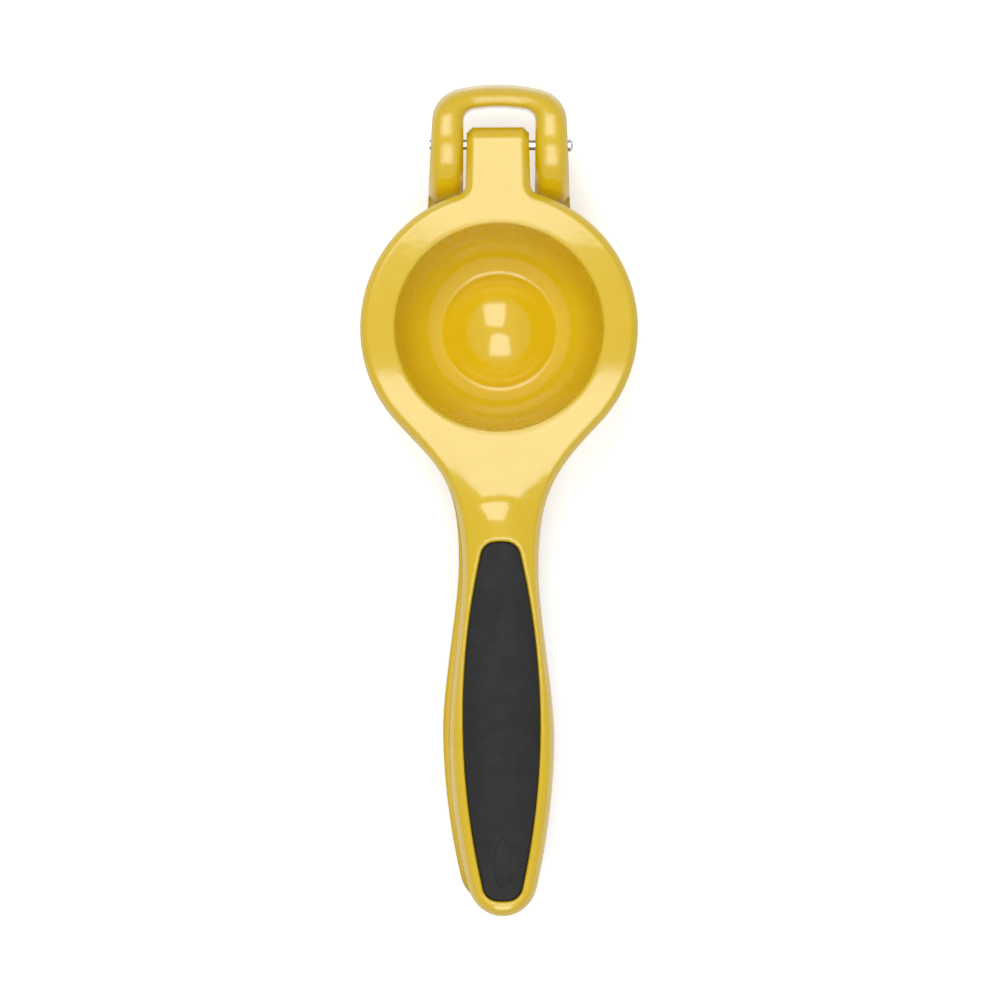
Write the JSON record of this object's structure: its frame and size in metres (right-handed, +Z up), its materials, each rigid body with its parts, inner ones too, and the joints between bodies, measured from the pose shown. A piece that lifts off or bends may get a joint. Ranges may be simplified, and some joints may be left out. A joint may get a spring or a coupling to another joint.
{
  "type": "citrus squeezer",
  "caption": "Hand-held citrus squeezer: a hollow press cup on a lever arm closes into a strainer bowl on a second arm, joined by a pin in a hanging loop, with soft grips.",
  "frame": {"origin": "on the bowl's flat foot, under the bowl's axis", "axes": "+Z up along the bowl's axis, +Y from the bowl to the hinge, +X to the right seen from above with the hinge at the top"},
  "size_m": [0.0762, 0.2282, 0.0355],
  "materials": {
    "enamel": "cast aluminium under a glossy yellow enamel",
    "pin_steel": "bare bright steel",
    "soft_grip": "matt soft-touch charcoal"
  },
  "bodies": {
    "lower": {"lower_arm": "enamel", "hinge_pin": "pin_steel", "lower_grip": "soft_grip"},
    "upper": {"upper_arm": "enamel", "upper_grip": "soft_grip"}
  },
  "joints": [
    {"name": "arm_hinge", "type": "hinge", "parent": "lower", "child": "upper", "pos_m": [0, 0.05043, 0.02638], "axis": [-1, 0, 0], "range_deg": [0, 134]}
  ]
}
